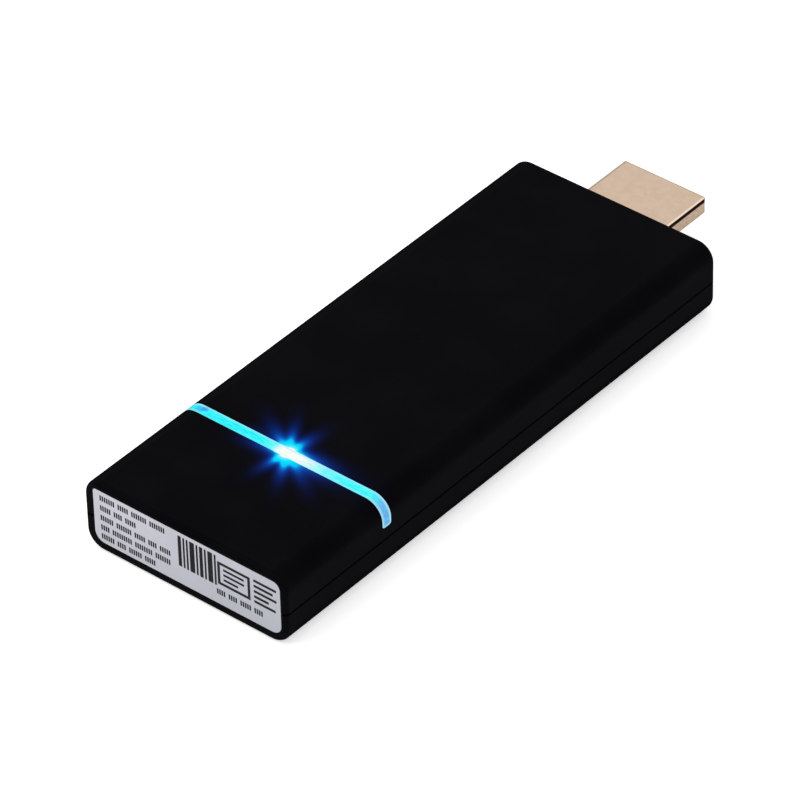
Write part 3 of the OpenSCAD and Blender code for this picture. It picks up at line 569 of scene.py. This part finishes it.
def plug_look():
    """Plated sheet with faint mottling and wear marks, painted shade on its flanks, underside, left fold and
    tip, a painted highlight along its upper folds, and a painted dark reflection as a line below each upper
    fold.
    """
    look = Look("rose_gold_plate", specular=0.02)

    def from_top(depths):
        return look.fade(look.z, *(plug_top - depth for depth in depths))

    def from_side(insets):
        return look.fade(out, *(plug_half - inset for inset in insets))

    mottle = look.noise(MOTTLE_SIZE, detail=4)
    fine = look.noise(FINE_SIZE, detail=3)
    share = look.times_plus(mottle, MOTTLE_SHARE, look.times(fine, 1 - MOTTLE_SHARE))
    plate = look.mix(look.fade(share, *PLATE_RANGE), PLUG_DEEP, PLUG_CHAMPAGNE)
    specks = look.fade(look.cells(SPECK_SPACING), *SPECK_RANGE)
    plate = look.mix(look.times(specks, SPECK_SHARE), plate, PLUG_SIDE_SHADE_AND_SPECK)
    out = look.maths("ABSOLUTE", look.x)
    blotch = look.fade(look.noise(BLOTCH_SIZE, detail=4, stretch=BLOTCH_STRETCH), *BLOTCH_RANGE)
    # Painted shade: the flanks are darker than the top, with blotches and scuffs of wear
    shaded_flank = look.mix(blotch, PLUG_SIDE_SHADE_AND_SPECK, PLUG_SIDE_SHADE_PALE)
    scuffs = look.fade(look.noise(SCUFF_SIZE, detail=3, stretch=SCUFF_STRETCH), *SCUFF_RANGE)
    shaded_flank = look.mix(look.times(scuffs, SCUFF_SHARE), shaded_flank, PLUG_SPECK)
    # More painted shade towards the bottom of each flank
    shaded_flank = look.mix(look.times(from_top(LOWER_SHADE_DEPTHS), LOWER_SHADE_SHARE), shaded_flank, PLUG_SIDE_SHADE_AND_SPECK)
    # The flanks' painted shade also covers the lower bevel and the underside
    side = look.larger(from_side(SIDE_INSETS), from_top(BEVEL_DEPTHS))
    plate = look.mix(side, plate, shaded_flank)
    # Painted highlight along both upper folds
    ridge_highlight = look.times(from_side(RIDGE_INSETS), from_top(RIDGE_DEPTHS))
    plate = look.mix(ridge_highlight, plate, FOLD_HIGHLIGHT)
    # Painted shade along the left fold
    shade = look.fade(look.x, *(inset - plug_half for inset in LEFT_SHADE_INSETS))
    plate = look.mix(look.times(shade, LEFT_FOLD_SHARE), plate, FOLD_SHADE)
    # Painted shade along the edge of the tip
    rim_shade = look.fade(look.y, *(plug_tip - inset for inset in RIM_TIP_INSETS))
    plate = look.mix(look.times(rim_shade, RIM_SHARE), plate, FOLD_SHADE)
    # Painted dark reflection: a dark line, not metal, below each upper fold
    line = look.times(from_top(LINE_LOW_DEPTHS), from_top(LINE_HIGH_DEPTHS))
    line = look.times(line, from_side(LINE_INSETS))
    look.put("Base Color", look.mix(line, plate, FOLD_DARK_REFLECTION))
    look.put("Metallic", look.minus(1.0, line))
    look.put("Roughness", look.between(fine, *PLUG_ROUGHNESS))
    look.bump(mottle, PLUG_DEPTH)
    return look


BOARD_MASK = (0.015, 0.11, 0.05)
TRACE_BRIGHTER = 1.9
TRACE_WANDER = 5.0
TRACE_PITCH = 0.5
TRACE_RANGE = (0.22, 0.3)
TRACE_SHARE = 0.5
VIA_SPACING = 2.3
VIA_RANGE = (0.16, 0.12)
VIA_COPPER = (0.62, 0.45, 0.2)
BOARD_ROUGHNESS = (0.3, 0.42)
BOARD_DEPTH = 0.01


def board_look(name):
    """Solder mask over copper traces, with round vias."""
    look = Look(name)
    wander = look.plus(look.x, look.noise(TRACE_WANDER))
    lines = look.fade(look.maths("PINGPONG", wander, TRACE_PITCH), *TRACE_RANGE)
    vias = look.fade(look.cells(VIA_SPACING), *VIA_RANGE)
    over_copper = tuple(TRACE_BRIGHTER * channel for channel in BOARD_MASK)
    traced = look.mix(look.times(lines, TRACE_SHARE), BOARD_MASK, over_copper)
    look.put("Base Color", look.mix(vias, traced, VIA_COPPER))
    look.put("Roughness", look.between(lines, *BOARD_ROUGHNESS))
    look.bump(lines, BOARD_DEPTH)
    return look


upper_look = shell_look("satin_black_upper")
add_glow(upper_look)
lower_look = shell_look("satin_black")
rose_gold = plug_look()

# Metals: main tone, deeper tone and roughness
tinned = metal("tinned_steel", (0.74, 0.74, 0.75), (0.6, 0.6, 0.61), 0.33)
gold = metal("gold_contacts", (0.92, 0.66, 0.26), (0.8, 0.55, 0.2), 0.25)
mill = metal("mill_aluminium", (0.8, 0.8, 0.81), (0.66, 0.66, 0.68), 0.4)

# Plastics, resins and foams: dark tone, light tone and roughness
button_plastic = moulded("button_plastic", (0.013, 0.013, 0.015), (0.021, 0.021, 0.024), 0.42, specular=0.12)
black_plastic = moulded("black_insulator", (0.012, 0.012, 0.013), (0.022, 0.022, 0.023), 0.5)
cream_plastic = moulded("cream_plunger", (0.55, 0.5, 0.38), (0.66, 0.6, 0.48), 0.5)
resin = moulded("chip_resin", (0.02, 0.02, 0.021), (0.035, 0.035, 0.036), 0.6, grain=0.08)
ferrite = moulded("ferrite", (0.05, 0.05, 0.052), (0.09, 0.09, 0.094), 0.7, grain=0.1)
ceramic = moulded("capacitor_ceramic", (0.38, 0.26, 0.16), (0.5, 0.36, 0.24), 0.55, grain=0.1)
pad = moulded("thermal_pad", (0.33, 0.4, 0.5), (0.42, 0.5, 0.6), 0.8, grain=0.3, depth=0.03)
foam = moulded("gasket_foam", (0.02, 0.02, 0.02), (0.05, 0.05, 0.05), 0.9, grain=0.25, depth=0.06)
jacket = moulded("lead_jacket", (0.015, 0.015, 0.015), (0.03, 0.03, 0.03), 0.45)
green_board = board_look("green_board")
lamp = moulded("lamp_resin", (0.85, 0.9, 0.95), (0.95, 0.97, 1.0), 0.3)

LOOKS = {
    "upper_shell": upper_look, "lower_shell": lower_look, "reset_button": button_plastic,
    "light_guide": guide_look(), "end_label": label_look(),
    "plug_shell": rose_gold, "plug_insulator": black_plastic, "plug_contacts": gold,
    "main_board": green_board, "antenna_board": green_board, "wifi_module": green_board,
    "board_screws": tinned, "socket_shell": tinned, "switch_cover": tinned, "crystal": tinned,
    "wifi_shield": tinned, "socket_tongue": black_plastic, "switch_base": black_plastic,
    "socket_contacts": gold, "antenna_plug": gold, "switch_plunger": cream_plastic,
    "processor": resin, "memory_chips": resin, "flash_chip": resin, "power_chip": resin,
    "resistors": resin, "power_coils": ferrite, "line_filters": ferrite, "capacitors": ceramic,
    "thermal_pad": pad, "heat_spreader": mill, "status_led": lamp, "led_gasket": foam,
    "antenna_lead": jacket,
}
for name, look in LOOKS.items():
    slots = nodes[name].data.materials
    slots.clear()
    slots.append(look.material)


# Plain marks on the label, in millimetres across and up the near end face. Each row of thin bars
# has its left end, its middle height and the counts of bars in its groups.
BAR_ROWS = (
    (-14.0, 8.8, (7, 5, 7, 7)),
    (-14.0, 7.2, (5, 4, 5)),
    (-14.0, 5.62, (6, 7, 5, 4, 5)),
    (-14.0, 4.1, (4, 9, 8, 7)),
    (-14.0, 2.63, (6, 4, 6, 5)),
    (5.3, 3.55, (4, 4, 5, 4)),
)
BAR_PITCH = 0.37
BAR_WIDTH = 0.24
BAR_HEIGHT = 0.86
GROUP_GAP = 0.45
# The tall bars: their widths, the gap between them, and their left, low and high sides
TALL_BARS = (0.55, 0.3, 0.3, 0.8, 0.3, 0.55, 0.3, 0.8, 0.3)
TALL_GAP = 0.26
TALL_FROM = (-0.95, 4.45, 9.3)
# The frame, the lines in it and the lines beside it: left, low, right and high sides
FRAME = (5.55, 4.85, 10.9, 8.5)
FRAME_STROKE = 0.42
FRAME_INNER = ((6.5, 7.3, 9.9, 7.65), (6.5, 6.5, 9.9, 6.85), (6.5, 5.7, 8.9, 6.05))
STACK = (
    (11.5, 8.2, 15.2, 8.6),
    (11.5, 7.35, 14.6, 7.75),
    (11.5, 6.5, 15.2, 6.9),
    (11.5, 5.65, 13.9, 6.05),
    (11.5, 4.85, 15.0, 5.25),
)
INK_FLOAT = 0.002
INK_THICKNESS = 0.012
INK_CORNER = 0.05
INK_DARK = (0.003, 0.003, 0.004)
INK_LIGHT = (0.010, 0.010, 0.012)
INK_ROUGHNESS = 0.5
INK_SPECULAR = 0.08
INK_GRAIN = 0.2
INK_DEPTH = 0.003


def ink_boxes():
    """Rectangles of the label's marks: left, low, right and high sides."""
    boxes = []
    for left, middle, groups in BAR_ROWS:
        low = middle - BAR_HEIGHT / 2
        for bars in groups:
            for _ in range(bars):
                boxes.append((left, low, left + BAR_WIDTH, low + BAR_HEIGHT))
                left += BAR_PITCH
            left += GROUP_GAP
    left, low, high = TALL_FROM
    for width in TALL_BARS:
        boxes.append((left, low, left + width, high))
        left += width + TALL_GAP
    x0, z0, x1, z1 = FRAME
    t = FRAME_STROKE
    boxes += [(x0, z0, x1, z0 + t), (x0, z1 - t, x1, z1)]
    boxes += [(x0, z0 + t, x0 + t, z1 - t), (x1 - t, z0 + t, x1, z1 - t)]
    return boxes + list(FRAME_INNER) + list(STACK)


def add_print():
    """The label's marks, as thin printed shapes that lie on the label."""
    mesh = bpy.data.meshes.new("label_print")
    form = bmesh.new()
    back = label_low.y / MM - INK_FLOAT
    front = back - INK_THICKNESS
    c = INK_CORNER
    for x0, z0, x1, z1 in ink_boxes():
        ring = [
            (x0 + c, z0), (x1 - c, z0), (x1, z0 + c), (x1, z1 - c),
            (x1 - c, z1), (x0 + c, z1), (x0, z1 - c), (x0, z0 + c),
        ]
        near = [form.verts.new(Vector((x, front, z)) * MM) for x, z in ring]
        far = [form.verts.new(Vector((x, back, z)) * MM) for x, z in ring]
        form.faces.new(near)
        form.faces.new(list(reversed(far)))
        for i in range(len(ring)):
            j = (i + 1) % len(ring)
            form.faces.new((near[j], near[i], far[i], far[j]))
    form.normal_update()
    form.to_mesh(mesh)
    form.free()
    print_object = bpy.data.objects.new("label_print", mesh)
    bpy.context.scene.collection.objects.link(print_object)
    look = moulded(
        "printed_ink", INK_DARK, INK_LIGHT, INK_ROUGHNESS, grain=INK_GRAIN, depth=INK_DEPTH,
        specular=INK_SPECULAR,
    )
    mesh.materials.append(look.material)
    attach(print_object, "housing")


def seen_as_backdrop(tree):
    """1 for a ray from the camera, a mirror or a clear piece, 0 for other rays."""
    path = tree.nodes.new("ShaderNodeLightPath")
    seen = path.outputs["Is Camera Ray"]
    for ray in ("Is Glossy Ray", "Is Transmission Ray"):
        node = tree.nodes.new("ShaderNodeMath")
        node.operation = "MAXIMUM"
        tree.links.new(seen, node.inputs[0])
        tree.links.new(path.outputs[ray], node.inputs[1])
        seen = node.outputs[0]
    return seen


def add_stage():
    """A plain white floor that takes the soft shadow."""
    mesh = bpy.data.meshes.new("floor")
    h = FLOOR_HALF_WIDTH
    mesh.from_pydata([(-h, -h, 0), (h, -h, 0), (h, h, 0), (-h, h, 0)], [], [(0, 1, 2, 3)])
    floor = bpy.data.objects.new("floor", mesh)
    bpy.context.scene.collection.objects.link(floor)
    look = Look("floor_white", roughness=FLOOR_ROUGHNESS, specular=0.0)
    look.put("Base Color", (FLOOR_WHITE,) * 3)
    look.put("Emission Color", WHITE)
    look.put("Emission Strength", look.times(seen_as_backdrop(look.tree), FLOOR_GLOW))
    mesh.materials.append(look.material)


def add_light():
    """Even white light from all round, and one soft lamp from the front left."""
    world = bpy.data.worlds.new("studio")
    bpy.context.scene.world = world
    world.use_nodes = True
    tree = world.node_tree
    background = tree.nodes["Background"]
    background.inputs["Color"].default_value = with_alpha(WHITE)
    strength = tree.nodes.new("ShaderNodeMapRange")
    tree.links.new(seen_as_backdrop(tree), strength.inputs["Value"])
    strength.inputs["To Min"].default_value = WORLD_FOR_DIFFUSE
    strength.inputs["To Max"].default_value = WORLD_WHEN_SEEN
    tree.links.new(strength.outputs["Result"], background.inputs["Strength"])

    data = bpy.data.lights.new("softbox", "AREA")
    data.energy = SOFTBOX_ENERGY
    data.size = SOFTBOX_SIZE
    softbox = bpy.data.objects.new("softbox", data)
    softbox.location = SOFTBOX_PLACE
    softbox.rotation_euler = (housing_middle - SOFTBOX_PLACE).to_track_quat("-Z", "Y").to_euler()
    softbox.visible_camera = False
    bpy.context.scene.collection.objects.link(softbox)


def add_camera():
    """The camera, at the photograph's viewing angle."""
    azimuth, elevation = CAMERA_AZIMUTH, CAMERA_ELEVATION
    back = Vector((
        math.sin(azimuth) * math.cos(elevation),
        -math.cos(azimuth) * math.cos(elevation),
        math.sin(elevation),
    ))
    level = Vector((math.cos(azimuth), math.sin(azimuth), 0))
    upright = back.cross(level)
    right = math.cos(CAMERA_ROLL) * level + math.sin(CAMERA_ROLL) * upright
    up = back.cross(right)
    place = housing_middle + CAMERA_DISTANCE * back + CAMERA_SIDE_STEP * right + CAMERA_UP_STEP * up
    data = bpy.data.cameras.new("camera")
    data.sensor_width = SENSOR_WIDTH
    data.lens = CAMERA_LENS
    data.clip_start = CAMERA_NEAR
    camera = bpy.data.objects.new("camera", data)
    camera.matrix_world = Matrix.Translation(place) @ Matrix((right, up, back)).transposed().to_4x4()
    bpy.context.scene.collection.objects.link(camera)
    bpy.context.scene.camera = camera


add_print()
add_stage()
add_light()
add_camera()
bpy.context.scene.view_settings.view_transform = "Standard"
